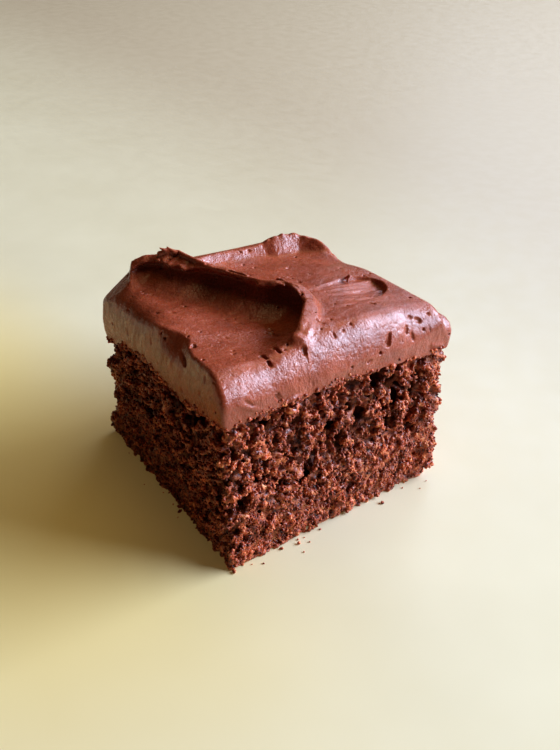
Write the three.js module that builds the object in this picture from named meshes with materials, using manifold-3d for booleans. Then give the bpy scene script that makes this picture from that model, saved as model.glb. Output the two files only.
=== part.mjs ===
// A square piece of chocolate sheet cake: a tall crumb sponge under one thick layer of swirled frosting.
// Millimetres, +Z up. +X runs along the front cut face and +Y along the left one.
import * as THREE from "three";
import { mergeVertices } from "three/addons/utils/BufferGeometryUtils.js";
import Module from "manifold-3d";

// The corners of the hand-cut piece on the table
const FRONT = [-35.3, -36.5];
const RIGHT = [32.0, -33.2];
const BACK = [33.5, 35.0];
const LEFT = [-32.0, 33.2];
const SIDE_LENGTH = 68; // nominal, a ninth of a square tin's cake

// The middle of the model's bounding box in the plan, which ends over the origin
const MIDDLE = [-0.4, -0.4];

// The sponge. Its top is a grid of heights: rows go from the front cut face to the side baked against the
// tin, and each row goes from the left cut face to the right-hand one.
const SPONGE_TOP = [
  [43.0, 43.8, 42.4, 40.7],
  [36.9, 40.0, 40.2, 39.5],
  [37.4, 39.4, 39.4, 38.6],
  [31.6, 33.0, 33.6, 34.0],
];
const CORNER_ROUNDING = 0.7; // taken off the upright corners
const RIGHT_FACE_LEAN = 2.2; // how far the right-hand cut face leans out towards its top
const FRONT_CORNER_LEAN = 1.5; // how far the left cut face leans out towards the front corner
const CRAG_DEPTH = 1.3; // of the torn crumb on a cut face
const CRAG_SIZE = 4.6;
const CUT_FOOT = 2.5; // the crumb is pressed smooth over this height above the table
const SPONGE_STEPS = 22;
const SPONGE_LEVELS = 13;

// The frosting's top before the knife's strokes, as a grid of heights like the sponge's
const LAYER_GAP = 0.3; // keeps the two solids apart
const FROSTING_TOP = [
  [53.9, 55.1, 55.3, 52.2],
  [54.2, 54.4, 53.6, 51.6],
  [54.0, 53.0, 51.4, 50.8],
  [50.2, 50.4, 49.4, 48.8],
];
const ROLL_WIDTH = 7.0; // over which the top slopes down to the front face, ever more steeply
const ROLL_DROP = [[-33, 5.0], [-14, 8.2], [20, 8.0], [31, 3.2]]; // at places along the front
const SIDE_ROLL_WIDTH = 3.0; // over which it rounds over at the right and the back
const SIDE_ROLL_DROP = 2.4;
const LEFT_ROLL_WIDTH = 6.0; // over which it slopes down to the back half of the left side
const LEFT_ROLL_DROP = 2.8;
const FROSTING_BULGE = 0.9; // of the sides, halfway up
const TORN_CORNER = 1.9; // how far the torn edge at the right end of the front stands out
const FROSTING_STEPS = 40;
const FROSTING_LEVELS = 4;
const CLOSER_AT_SIDES = 0.35; // how much closer the steps are there than on average

// The left-hand corner slopes down outside the line between these two points
const SLOPE_START = [-33.4, 15.0];
const SLOPE_END = [-23.6, 34.0];
const SLOPE_HEIGHT = [50.6, 50.2];
const CORNER_SLOPE = 0.85;

// A dent where the knife caught the top of the left cut face
const DENT_MIDDLE = -9.5;
const DENT_HALF_LENGTH = 7.0;
const DENT_DEPTH = 3.4;
const DENT_FOOT = 45.5;

// The hollow that one broad stroke left, and the wave of frosting that it pushed up, given along the
// edge of its lip
const HOLLOW_FLOOR = 49.6; // beside the wave
const HOLLOW_RISE = 0.13; // of the floor, for each further millimetre away from the wave
const HOLLOW_REACH = 7;
const BOWL_RISE = 1.5; // of the floor against the wave's wall
const BOWL_WIDTH = 4.5;
const HOLLOW_FRONT_RISE = 4.2;
const HOLLOW_FRONT = [-12, -32]; // between these the floor climbs to the level of the top
const HOLLOW_BLEND = 1.2; // height over which the floor and the top run into each other
const WAVE_EDGE = [
  [-26.8, 28.8, 52.0],
  [-24.9, 28.9, 53.1],
  [-22.9, 28.2, 54.2],
  [-20.2, 26.4, 55.3],
  [-18.9, 21.2, 56.0],
  [-16.6, 15.4, 56.3],
  [-12.4, 11.6, 56.7],
  [-9.8, 6.0, 57.0],
  [-7.8, 0.2, 57.2],
  [-5.6, -4.9, 57.4],
  [-2.4, -7.7, 57.5],
  [-0.6, -11.2, 57.5],
  [-1.5, -15.4, 57.2],
  [-4.6, -20.4, 56.9],
  [-9.2, -24.8, 56.4],
  [-13.1, -27.6, 55.6],
  [-17.0, -32.0, 54.6],
];
// How far the wave's flat top reaches out from its edge, at shares of the way along it
const SHELF = [[0, 2.0], [0.1, 2.5], [0.2, 4.6], [0.26, 4.2], [0.34, 1.2], [0.5, 0.6], [0.6, 0]];
// The flank beyond: the share of its height that it has lost, how far out at the back, and along the front
const FLANK = [[1, 8.5, 5.4], [0.84, 6.0, 4.6], [0.6, 4.0, 4.0], [0.26, 2.2, 2.9], [0.05, 0.8, 1.4]];
// The hollow wall under its edge: the share of the way down, and how far out from the edge it stands there
const WALL = [[0.3, 1.6], [0.5, 1.6], [0.66, 1.0], [0.8, -0.2], [0.92, -2.0], [1, -4.6]];
const LIP_DROOP = 0.6;
const LIP_THICKNESS = 0.7;
const WAVE_ROOT = 3; // how far the wave's solid goes down into the layer
const WAVE_STATIONS = 58;

// The second stroke, behind the wave, leaves a shallow trough with a raised far lip, given along its crest
const LIP_CREST = [
  [-11.0, 24.5, 53.0],
  [-4.0, 26.5, 52.3],
  [1.0, 26.8, 52.2],
  [6.5, 26.6, 51.7],
  [12.0, 26.7, 51.5],
  [16.0, 26.7, 52.0],
  [19.2, 26.2, 53.2],
  [23.5, 26.0, 53.2],
  [26.8, 25.4, 52.7],
  [29.0, 23.4, 52.1],
  [31.5, 19.6, 51.7],
  [34.4, 15.4, 50.9],
];
const LIP_FRONT_SLOPE = 1.1;
const LIP_BACK_SLOPE = 0.7;
const LIP_BLEND = 0.7;
const TROUGH_DEPTH = 1.6;
const TROUGH_WIDTH = 7;

// The third stroke ends in a half-moon step where the round tip of the knife was lifted
const TIP_MIDDLE = [19.0, -12.5];
const TIP_REACH = 9.8;
const TIP_HALF_WIDTH = 7.4;
const TIP_TAIL = 18; // over which the step fades out behind the tip
const TIP_DEPTH = 1.6; // less on the side away from the front
const TIP_EDGE = 0.2; // softness of the step, as a share of its reach

const MESH_MATERIALS = {
  sponge: { color: 0x44190e, roughness: 0.95, metalness: 0 },
  frosting: { color: 0x6a3126, roughness: 0.45, metalness: 0 },
};

const clamp01 = (t) => Math.min(1, Math.max(0, t));
const mix = (a, b, t) => a + (b - a) * t;
const smooth = (low, high, t) => {
  const s = clamp01((t - low) / (high - low));
  return s * s * (3 - 2 * s);
};
const bell = (t) => Math.exp(-t * t);
const softMin = (a, b, width) => {
  const t = clamp01(0.5 + (b - a) / (2 * width));
  return mix(b, a, t) - width * t * (1 - t);
};
const softMax = (a, b, width) => -softMin(-a, -b, width);

// A value read at t from stops, which are lists of a place and one or more values; which picks one of those
function readStops(stops, t, which = 1) {
  const next = stops.findIndex((stop) => stop[0] > t);
  if (next === 0) return stops[0][which];
  if (next < 0) return stops.at(-1)[which];
  const [a, b] = [stops[next - 1], stops[next]];
  return mix(a[which], b[which], (t - a[0]) / (b[0] - a[0]));
}

// Repeatable noise from -1 to 1 that changes smoothly over a distance of one
function noise(x, y, z) {
  const lattice = (i, j, k) => {
    const s = Math.sin(i * 127.1 + j * 311.7 + k * 74.7) * 43758.5453;
    return 2 * (s - Math.floor(s)) - 1;
  };
  const [i, j, k] = [x, y, z].map(Math.floor);
  const [a, b, c] = [x - i, y - j, z - k].map((t) => t * t * (3 - 2 * t));
  const edge = (dj, dk) => mix(lattice(i, j + dj, k + dk), lattice(i + 1, j + dj, k + dk), a);
  return mix(mix(edge(0, 0), edge(1, 0), b), mix(edge(0, 1), edge(1, 1), b), c);
}

// The height in a grid of heights at shares u, from the left face to the right one, and v, from front to back
function gridHeight(grid, u, v) {
  const along = (row, t) => {
    const last = row.length - 1;
    const i = Math.min(last - 1, Math.floor(t * last));
    const s = t * last - i;
    const [p0, p1, p2, p3] = [-1, 0, 1, 2].map((o) => row[Math.min(last, Math.max(0, i + o))]);
    const square = (2 * p0 - 5 * p1 + 4 * p2 - p3) * s * s;
    const cube = (3 * p1 - p0 - 3 * p2 + p3) * s * s * s;
    return p1 + 0.5 * ((p2 - p0) * s + square + cube);
  };
  return along(grid.map((row) => along(row, u)), v);
}

// How far a point of the plan is outside the upright side from one corner to the next, counted from above
function outsideOf(start, end, x, y) {
  const [dx, dy] = [end[0] - start[0], end[1] - start[1]];
  return ((x - start[0]) * dy - (y - start[1]) * dx) / Math.hypot(dx, dy);
}

// How near a point of the plan is to one of the upright corners, from 0 to 1
const cornerShare = (u, v) => (Math.abs(2 * u - 1) * Math.abs(2 * v - 1)) ** 14;

// The point of the plan at shares u and v, with the upright corners rounded off
function planPoint(u, v) {
  const at = (axis) => mix(mix(FRONT[axis], RIGHT[axis], u), mix(LEFT[axis], BACK[axis], u), v);
  const keep = 1 - (CORNER_ROUNDING * cornerShare(u, v)) / (SIDE_LENGTH / 2);
  return new THREE.Vector2(at(0) * keep, at(1) * keep);
}

// How far the left cut face leans out at a distance along it and a height
const leftLean = (y, raised) => FRONT_CORNER_LEAN * smooth(-14, -34, y) * raised;

// A closed block: a finely divided box whose vertices are moved by place(u, v, w, side), where u, v and w run
// from 0 to 1 across, back and up, and side says which upright faces the vertex is on
function block(steps, levels, place) {
  const box = new THREE.BoxGeometry(1, 1, 1, steps, steps, levels);
  box.deleteAttribute("normal");
  box.deleteAttribute("uv");
  const geometry = mergeVertices(box);
  const position = geometry.getAttribute("position");
  for (let i = 0; i < position.count; i++) {
    const [u, v, w] = [position.getX(i) + 0.5, position.getY(i) + 0.5, position.getZ(i) + 0.5];
    const side = { x: Math.trunc((2 * u - 1) * 1.0001), y: Math.trunc((2 * v - 1) * 1.0001) };
    position.setXYZ(i, ...place(u, v, w, side));
  }
  return geometry;
}

function makeSponge() {
  return block(SPONGE_STEPS, SPONGE_LEVELS, (u, v, w, side) => {
    const plan = planPoint(u, v);
    const z = w * gridHeight(SPONGE_TOP, u, v);
    const shown = side.x || side.y ? smooth(0, CUT_FOOT, z) * (1 - 0.8 * cornerShare(u, v)) : 0;
    const crag = CRAG_DEPTH * noise(plan.x / CRAG_SIZE, plan.y / CRAG_SIZE, z / CRAG_SIZE);
    const rightLean = RIGHT_FACE_LEAN * smooth(2, 16, z);
    const lean = side.x > 0 ? rightLean : leftLean(plan.y, smooth(4, 40, z));
    return [plan.x + side.x * (shown * crag + lean), plan.y + side.y * shown * crag, z];
  });
}

// How far a point of the plan is from a path, positive on the left of its run, and the share of it passed
function alongPath(path, x, y) {
  let [least, side, share] = [Infinity, 1, 0];
  for (let i = 0; i + 1 < path.length; i++) {
    const [dx, dy] = [path[i + 1].x - path[i].x, path[i + 1].y - path[i].y];
    const [px, py] = [x - path[i].x, y - path[i].y];
    const t = clamp01((px * dx + py * dy) / (dx * dx + dy * dy));
    const distance = Math.hypot(px - t * dx, py - t * dy);
    if (distance >= least) continue;
    least = distance;
    side = dx * py - dy * px < 0 ? -1 : 1;
    share = (i + t) / (path.length - 1);
  }
  return [side * least, share];
}

function spacedPoints(points, count) {
  return new THREE.CatmullRomCurve3(points.map((p) => new THREE.Vector3(...p))).getSpacedPoints(count);
}

const waveEdge = spacedPoints(WAVE_EDGE, WAVE_STATIONS);
const lip = spacedPoints(LIP_CREST, 39);
const lipHeights = lip.map((p, i) => [i / (lip.length - 1), p.z]);
const slopeLine = [SLOPE_START, SLOPE_END].map((p) => new THREE.Vector2(...p));

// The top with what the second and third strokes did to it
function strokedTop(u, v, x, y) {
  const [acrossLip, lipShare] = alongPath(lip, x, y);
  const inFront = Math.max(0, -acrossLip - 0.3) * LIP_FRONT_SLOPE;
  const behind = Math.max(0, acrossLip - 0.5) * LIP_BACK_SLOPE;
  const lipTop = readStops(lipHeights, lipShare) - inFront - behind;
  const trough = TROUGH_DEPTH * bell((acrossLip + TROUGH_WIDTH) / TROUGH_WIDTH) * smooth(-9, 0, x);

  const along = x - TIP_MIDDLE[0];
  const across = y - TIP_MIDDLE[1] - 0.2 * along;
  const reach = Math.hypot(Math.max(0, along) / TIP_REACH, across / TIP_HALF_WIDTH);
  const tilted = mix(1, 0.55, smooth(-1, 5, across));
  const fade = smooth(-TIP_TAIL, TIP_REACH / 2, along);
  const step = TIP_DEPTH * tilted * fade * (1 - smooth(1 - TIP_EDGE, 1, reach));
  return softMax(gridHeight(FROSTING_TOP, u, v) - trough, lipTop, LIP_BLEND) - step;
}

// How far an edge of the top has fallen at a distance outside a side: rounded over, or ever more steeply
const rolled = (outside, width, drop) => drop * (1 - Math.sqrt(1 - clamp01(1 + outside / width) ** 2));
const sloped = (outside, width, drop) => drop * clamp01(1 + outside / width) ** 2;

// The height of the frosting's top at a point of the plan, without the wave
function frostingTop(x, y) {
  const [front, right] = [outsideOf(FRONT, RIGHT, x, y), outsideOf(RIGHT, BACK, x, y)];
  const [back, left] = [outsideOf(BACK, LEFT, x, y), outsideOf(LEFT, FRONT, x, y)];
  const whole = strokedTop(clamp01(left / (left + right)), clamp01(front / (front + back)), x, y);
  const [acrossWave] = alongPath(waveEdge, x, y);
  const inHollow = Math.max(0, -acrossWave);
  const forward = Math.max(0, (HOLLOW_FRONT[0] - y) / (HOLLOW_FRONT[0] - HOLLOW_FRONT[1]));
  const climb = HOLLOW_FRONT_RISE * forward ** 1.5;
  const bowl = BOWL_RISE * bell(inHollow / BOWL_WIDTH);
  const away = HOLLOW_RISE * Math.max(0, inHollow - HOLLOW_REACH);
  const floor = softMin(whole, HOLLOW_FLOOR + bowl + away + climb, HOLLOW_BLEND);

  let surface = mix(floor, whole, smooth(2, 4.5, acrossWave));
  surface -= sloped(front, ROLL_WIDTH, readStops(ROLL_DROP, x));
  surface -= smooth(-6, 12, y) * sloped(left - leftLean(y, 1), LEFT_ROLL_WIDTH, LEFT_ROLL_DROP);
  surface -= rolled(right, SIDE_ROLL_WIDTH, SIDE_ROLL_DROP);
  surface -= rolled(back, SIDE_ROLL_WIDTH, SIDE_ROLL_DROP);

  const [beyond, alongSlope] = alongPath(slopeLine, x, y);
  const inside = 4 * Math.max(0, -beyond);
  return softMin(surface, mix(...SLOPE_HEIGHT, alongSlope) - CORNER_SLOPE * beyond + inside, 0.8);
}

// A share of the way across, moved so that equal steps of t come closer together at the sides
const closerAtSides = (t) => t - (CLOSER_AT_SIDES * Math.sin(2 * Math.PI * t)) / (2 * Math.PI);

function makeFrostingLayer() {
  return block(FROSTING_STEPS, FROSTING_LEVELS, (evenU, evenV, w, side) => {
    const [u, v] = [closerAtSides(evenU), closerAtSides(evenV)];
    const plan = planPoint(u, v);
    const top = frostingTop(plan.x, plan.y);
    const bottom = gridHeight(SPONGE_TOP, u, v) + LAYER_GAP;
    const z = mix(bottom, top, w);
    const bulge = side.y < 0 ? 0 : FROSTING_BULGE * 4 * w * (1 - w);
    const torn = TORN_CORNER * smooth(-27, -32.5, plan.y) * bell((z - 48.2) / 3.4);
    const rightLean = RIGHT_FACE_LEAN * (1 - 0.6 * w) + torn;
    const caught = bell((plan.y - DENT_MIDDLE) / (DENT_HALF_LENGTH * 0.7)) * smooth(DENT_FOOT, 53, z);
    const lean = side.x > 0 ? rightLean : leftLean(plan.y, 1) - DENT_DEPTH * caught;
    return [plan.x + side.x * (bulge + lean), plan.y + side.y * bulge, z];
  });
}

// The wave's cross-section at a share of the way along its edge: distances out from the edge, and heights
function waveSection(top, outward, share) {
  const whole = smooth(0, 0.06, share) * smooth(1, 0.92, share);
  const bent = smooth(0.52, 0.66, share);
  const shelf = readStops(SHELF, share);
  const ground = (d) => frostingTop(top.x + outward.x * d, top.y + outward.y * d) - 0.2;
  const [outer, inner] = [shelf + mix(...FLANK[0].slice(1), bent), WALL.at(-1)[1] * mix(0.4, 1, whole)];
  const here = mix(ground(0), top.z, smooth(1, 0.93, share)) - 3 * smooth(0.94, 1, share);
  const [toe, foot] = [Math.min(ground(outer), here - 0.3), Math.min(ground(inner), here - 0.3)];
  const flank = FLANK.map(([lost, atBack, atFront]) => {
    return [shelf + mix(atBack, atFront, bent), mix(here, toe, lost)];
  });
  const wall = WALL.map(([down, out]) => [out * mix(0.4, 1, whole), mix(here, foot, down)]);
  return [
    ...flank,
    [shelf + 0.3, here + LIP_DROOP * whole],
    [0, here],
    [0, mix(here, foot, Math.min(0.2, LIP_THICKNESS / (here - foot)))],
    ...wall,
    [inner, foot - WAVE_ROOT],
    [outer, Math.min(toe, foot) - WAVE_ROOT],
  ];
}

function makeWave() {
  const rings = waveEdge.map((top, i) => {
    const [before, after] = [waveEdge[Math.max(0, i - 1)], waveEdge[Math.min(WAVE_STATIONS, i + 1)]];
    const outward = new THREE.Vector2(before.y - after.y, after.x - before.x).normalize();
    const section = waveSection(top, outward, i / WAVE_STATIONS);
    return section.map(([d, z]) => [top.x + outward.x * d, top.y + outward.y * d, z]);
  });
  const size = rings[0].length;
  const index = [];
  for (let i = 0; i < WAVE_STATIONS; i++)
    for (let j = 0; j < size; j++) {
      const [a, b] = [i * size + j, i * size + ((j + 1) % size)];
      index.push(a, b, b + size, a, b + size, a + size);
    }
  const endRing = waveSection(waveEdge[0], new THREE.Vector2(1, 0), 0).map((p) => new THREE.Vector2(...p));
  const last = WAVE_STATIONS * size;
  for (const [a, b, c] of THREE.ShapeUtils.triangulateShape(endRing, []))
    index.push(a, c, b, last + a, last + b, last + c);
  const geometry = new THREE.BufferGeometry();
  geometry.setAttribute("position", new THREE.Float32BufferAttribute(rings.flat(2), 3));
  geometry.setIndex(index);
  return geometry;
}

// The upright column that the wave may not leave
function makeColumn() {
  return block(FROSTING_STEPS, 1, (evenU, evenV, w) => {
    const [u, v] = [closerAtSides(evenU), closerAtSides(evenV)];
    const plan = planPoint(u, v);
    return [plan.x, plan.y, mix(gridHeight(SPONGE_TOP, u, v) + LAYER_GAP + 0.4, 64, w)];
  });
}

const wasm = await Module();
wasm.setup();

function toSolid(geometry) {
  const vertProperties = geometry.getAttribute("position").array;
  const triVerts = new Uint32Array(geometry.getIndex().array);
  return new wasm.Manifold(new wasm.Mesh({ numProp: 3, vertProperties, triVerts }));
}

function toGeometry(solid) {
  const { vertProperties, triVerts } = solid.getMesh();
  const geometry = new THREE.BufferGeometry();
  geometry.setAttribute("position", new THREE.BufferAttribute(vertProperties, 3));
  geometry.setIndex(new THREE.BufferAttribute(triVerts, 1));
  return geometry;
}

function makeFrosting() {
  const wave = toSolid(makeWave()).intersect(toSolid(makeColumn()));
  return toGeometry(toSolid(makeFrostingLayer()).add(wave));
}

function named(name, geometry) {
  geometry.computeVertexNormals();
  const mesh = new THREE.Mesh(geometry, new THREE.MeshStandardMaterial(MESH_MATERIALS[name]));
  mesh.name = name;
  return mesh;
}

const cake = new THREE.Group();
cake.add(named("sponge", makeSponge()));
cake.add(named("frosting", makeFrosting()));
cake.position.set(-MIDDLE[0], -MIDDLE[1], 0);

export default cake;
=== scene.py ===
"""A square piece of frosted chocolate sheet cake: an open-crumbed sponge under swirled chocolate frosting.

Shapes are worked out in millimetres, as fields: numbers on a grid that are negative inside the food.
Each field is then turned into a mesh.
"""
import math

import bpy
import numpy as np
from mathutils import Matrix, Vector


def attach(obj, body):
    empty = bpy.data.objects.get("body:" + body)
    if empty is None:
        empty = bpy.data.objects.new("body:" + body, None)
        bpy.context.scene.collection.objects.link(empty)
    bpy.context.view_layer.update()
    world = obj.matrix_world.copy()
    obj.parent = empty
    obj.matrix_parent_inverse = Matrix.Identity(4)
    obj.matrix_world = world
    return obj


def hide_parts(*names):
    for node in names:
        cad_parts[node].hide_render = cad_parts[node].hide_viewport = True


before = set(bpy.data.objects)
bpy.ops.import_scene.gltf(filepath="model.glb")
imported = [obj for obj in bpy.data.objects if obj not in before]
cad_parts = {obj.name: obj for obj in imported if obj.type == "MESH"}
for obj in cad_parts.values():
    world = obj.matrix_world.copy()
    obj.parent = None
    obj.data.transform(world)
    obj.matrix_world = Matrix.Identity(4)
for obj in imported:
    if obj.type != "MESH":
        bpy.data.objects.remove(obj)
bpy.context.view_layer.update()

MM = 0.001

# The corners of the piece on the table, and the middle of the solids' box, which is over the row's origin
FRONT = (-35.3, -36.5)
RIGHT = (32.0, -33.2)
BACK = (33.5, 35.0)
LEFT = (-32.0, 33.2)
MIDDLE = (-0.4, -0.4)

# The sponge, as in its solid. Its top is a grid of heights, in rows from the front to the back.
SPONGE_TOP = (
    (43.0, 43.8, 42.4, 40.7),
    (36.9, 40.0, 40.2, 39.5),
    (37.4, 39.4, 39.4, 38.6),
    (31.6, 33.0, 33.6, 34.0),
)
RIGHT_FACE_LEAN = 2.2  # how far the right side leans out towards its top
FRONT_CORNER_LEAN = 1.5  # how far the left side leans out towards the front corner
LEAN_SPAN = (-14, -34)  # where along the left side that lean grows
CRAG_DEPTH = 1.3  # of the torn crumb on the sides
CRAG_SIZE = 4.6
CUT_FOOT = 2.5  # the crumb is pressed smooth over this height above the floor
UNDERSIDE = 0.05  # height of the flat underside above the floor

# The frosting, as in its solid: its top before the knife's strokes, and how that falls away to the sides
FROSTING_TOP = (
    (53.9, 55.1, 55.3, 52.2),
    (54.2, 54.4, 53.6, 51.6),
    (54.0, 53.0, 51.4, 50.8),
    (50.2, 50.4, 49.4, 48.8),
)
ROLL_WIDTH = 7.0  # at the front
ROLL_DROP = ((-33, 5.0), (-14, 8.2), (20, 8.0), (31, 3.2))  # at places along it
SIDE_ROLL_WIDTH = 3.0  # at the right and the back
SIDE_ROLL_DROP = 2.4
LEFT_ROLL_WIDTH = 6.0  # at the back half of the left side
LEFT_ROLL_DROP = 2.8
LEFT_ROLL_SPAN = (-6, 12)  # where along that side it grows

# The left corner slopes down outside the line between these two points
SLOPE_START = (-33.4, 15.0)
SLOPE_END = (-23.6, 34.0)
SLOPE_HEIGHT = (50.6, 50.2)  # at the two points
CORNER_SLOPE = 0.85

# A dent in the top of the left side
DENT_MIDDLE = -9.5
DENT_HALF_LENGTH = 7.0
DENT_DEPTH = 3.4
DENT_FOOT = 45.5

# The hollow that one broad stroke left, and the wave that it pushed up, along the edge of the wave's lip
HOLLOW_FLOOR = 49.6  # beside the wave
HOLLOW_RISE = 0.13  # for each millimetre beyond its reach
HOLLOW_REACH = 7
BOWL_RISE = 1.5  # against the wave's wall
BOWL_WIDTH = 4.5
HOLLOW_FRONT_RISE = 4.2
HOLLOW_FRONT = (-12, -32)  # between these the floor climbs to the level of the top
HOLLOW_BLEND = 1.2  # height over which the floor and the top run into each other
WAVE_EDGE = (
    (-26.8, 28.8, 52.0), (-24.9, 28.9, 53.1), (-22.9, 28.2, 54.2), (-20.2, 26.4, 55.3),
    (-18.9, 21.2, 56.0), (-16.6, 15.4, 56.3), (-12.4, 11.6, 56.7), (-9.8, 6.0, 57.0),
    (-7.8, 0.2, 57.2), (-5.6, -4.9, 57.4), (-2.4, -7.7, 57.5), (-0.6, -11.2, 57.5),
    (-1.5, -15.4, 57.2), (-4.6, -20.4, 56.9), (-9.2, -24.8, 56.4), (-13.1, -27.6, 55.6),
    (-17.0, -32.0, 54.6),
)

# The raised far lip of the second stroke, along its crest, and the trough in front of it
LIP_CREST = (
    (-11.0, 24.5, 53.0), (-4.0, 26.5, 52.3), (1.0, 26.8, 52.2), (6.5, 26.6, 51.7),
    (12.0, 26.7, 51.5), (16.0, 26.7, 52.0), (19.2, 26.2, 53.2), (23.5, 26.0, 53.2),
    (26.8, 25.4, 52.7), (29.0, 23.4, 52.1), (31.5, 19.6, 51.7), (34.4, 15.4, 50.9),
)
LIP_FRONT_SLOPE = 1.1
LIP_BACK_SLOPE = 0.7
LIP_BLEND = 0.7
TROUGH_DEPTH = 1.6
TROUGH_WIDTH = 7
TROUGH_START = (-9, 0)  # it deepens between these

# The half-moon step where the third stroke ended
TIP_MIDDLE = (19.0, -12.5)
TIP_REACH = 9.8
TIP_HALF_WIDTH = 7.4
TIP_SLANT = 0.2
TIP_TAIL = 18  # over which the step fades out behind the tip
TIP_DEPTH = 1.6  # on the side towards the front
TIP_FAR_SHARE = 0.55  # of that depth, on the other side
TIP_EDGE = 0.09  # softness of the step, as a share of its reach; in the solid it is softer

FROSTING_BULGE = 0.9  # of the sides, halfway up
TORN_CORNER = 1.9  # how far the torn edge at the right end of the front stands out


# Numbers on grids

NOISE_GAIN = 2.4  # brings blended random numbers back to about -1 to 1
BARELY = 0.05  # how far a point is put inside or outside when it changes sides


def mix(a, b, t):
    return a + (b - a) * t


def smooth(low, high, t):
    s = np.clip((t - low) / (high - low), 0, 1)
    return s * s * (3 - 2 * s)


def bell(t):
    return np.exp(-t * t)


def soft_min(a, b, width):
    t = np.clip(0.5 + (b - a) / (2 * width), 0, 1)
    return mix(b, a, t) - width * t * (1 - t)


def soft_max(a, b, width):
    return -soft_min(-a, -b, width)


class Grid:
    """Evenly spaced points in a box, with coordinates x, y and z shaped to spread over the whole grid."""

    def __init__(self, low, high, step):
        self.low = np.array(low, float)
        self.step = step
        self.shape = tuple(int(math.ceil((h - l) / step)) + 1 for l, h in zip(low, high))
        axes = [l + step * np.arange(n, dtype=np.float32) for l, n in zip(low, self.shape)]
        self.x = axes[0][:, None, None]
        self.y = axes[1][None, :, None]
        self.z = axes[2][None, None, :]

    def noise(self, size, seed):
        """Smooth random numbers, mostly from -1 to 1, whose swells are about size long on each axis."""
        sizes = np.broadcast_to(size, 3)
        turns = [np.arange(n) * self.step / s for n, s in zip(self.shape, sizes)]
        rng = np.random.default_rng(seed)
        values = rng.uniform(-1, 1, [int(t[-1]) + 5 for t in turns]).astype(np.float32)
        for axis, t in enumerate(turns):
            values = spline_rows(values, t, axis)
        return NOISE_GAIN * values


def spline_rows(values, t, axis):
    """Values along one axis of a lattice, read at positions t with a smooth spline."""
    i = t.astype(int)
    f = (t - i).astype(np.float32)
    weights = ((1 - f) ** 3, 3 * f**3 - 6 * f**2 + 4, -3 * f**3 + 3 * f**2 + 3 * f + 1, f**3)
    spread = [1, 1, 1]
    spread[axis] = -1
    return sum(np.take(values, i + k, axis) * (w / 6).reshape(spread) for k, w in enumerate(weights))


def crag_noise(grid, size):
    """The solid's own crags: numbers from -1 to 1 at the corners of cells of one size, blended between."""
    corners = []
    shares = []
    for axis in (grid.x, grid.y, grid.z):
        cell = np.floor(axis / size).astype(int)
        corners.append(cell)
        shares.append(smooth(0, 1, axis / size - cell))

    def lattice(di, dj, dk):
        i, j, k = [np.arange(c.min(), c.max() + 2) for c in corners]
        s = np.sin(i[:, None, None] * 127.1 + j[None, :, None] * 311.7 + k[None, None, :] * 74.7) * 43758.5453
        table = (2 * (s - np.floor(s)) - 1).astype(np.float32)
        i, j, k = [c.ravel() - c.min() + d for c, d in zip(corners, (di, dj, dk))]
        return table[np.ix_(i, j, k)]

    a, b, c = shares
    low = mix(mix(lattice(0, 0, 0), lattice(1, 0, 0), a), mix(lattice(0, 1, 0), lattice(1, 1, 0), a), b)
    high = mix(mix(lattice(0, 0, 1), lattice(1, 0, 1), a), mix(lattice(0, 1, 1), lattice(1, 1, 1), a), b)
    return mix(low, high, c)


def table_height(table, u, v):
    """Height in a grid of heights at shares u, left to right, and v, front to back."""
    def along(row, t):
        last = len(row) - 1
        i = np.minimum(last - 1, np.floor(t * last)).astype(int)
        s = t * last - i
        row = np.stack(np.broadcast_arrays(*row))
        pick = lambda o: np.take_along_axis(row, np.clip(i + o, 0, last)[None], 0)[0]
        p0, p1, p2, p3 = [pick(o) for o in (-1, 0, 1, 2)]
        square = (2 * p0 - 5 * p1 + 4 * p2 - p3) * s * s
        cube = (3 * p1 - p0 - 3 * p2 + p3) * s * s * s
        return p1 + 0.5 * ((p2 - p0) * s + square + cube)

    u, v = np.broadcast_arrays(np.clip(u, 0, 1), np.clip(v, 0, 1))
    columns = [along([np.full(u.shape, h) for h in row], u) for row in table]
    return along(columns, v).astype(np.float32)


def spline_points(points, count):
    """Evenly spaced points on a smooth curve through the given ones."""
    p = np.array(points, float)
    p = np.vstack([2 * p[0] - p[1], p, 2 * p[-1] - p[-2]])
    t = np.linspace(0, len(points) - 1 - 1e-9, 40 * len(points))
    i = t.astype(int)
    s = (t - i)[:, None]
    p0, p1, p2, p3 = p[i], p[i + 1], p[i + 2], p[i + 3]
    square = (2 * p0 - 5 * p1 + 4 * p2 - p3) * s**2
    cube = (3 * p1 - p0 - 3 * p2 + p3) * s**3
    curve = p1 + 0.5 * ((p2 - p0) * s + square + cube)
    length = np.concatenate([[0], np.cumsum(np.linalg.norm(np.diff(curve, axis=0), axis=1))])
    even = np.linspace(0, length[-1], count)
    return np.stack([np.interp(even, length, c) for c in curve.T], 1)


def along_path(path, x, y):
    """Distance from a path in the plan, positive on its left-hand side, and the share of it passed."""
    x, y = np.broadcast_arrays(x, y)
    least = np.full(x.shape, np.inf)
    side = np.ones(x.shape)
    share = np.zeros(x.shape)
    for i in range(len(path) - 1):
        dx, dy = path[i + 1][:2] - path[i][:2]
        px, py = x - path[i][0], y - path[i][1]
        t = np.clip((px * dx + py * dy) / (dx * dx + dy * dy), 0, 1)
        distance = np.hypot(px - t * dx, py - t * dy)
        nearer = distance < least
        least = np.where(nearer, distance, least)
        side = np.where(nearer, np.where(dx * py - dy * px < 0, -1.0, 1.0), side)
        share = np.where(nearer, (i + t) / (len(path) - 1), share)
    return (side * least).astype(np.float32), share.astype(np.float32)


def outside_of_side(start, end, x, y):
    """How far outside the side from start to end a point of the plan is, with corners taken anticlockwise."""
    (ax, ay), (bx, by) = start, end
    length = math.hypot(bx - ax, by - ay)
    return ((x - ax) * (by - ay) - (y - ay) * (bx - ax)) / length


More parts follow.
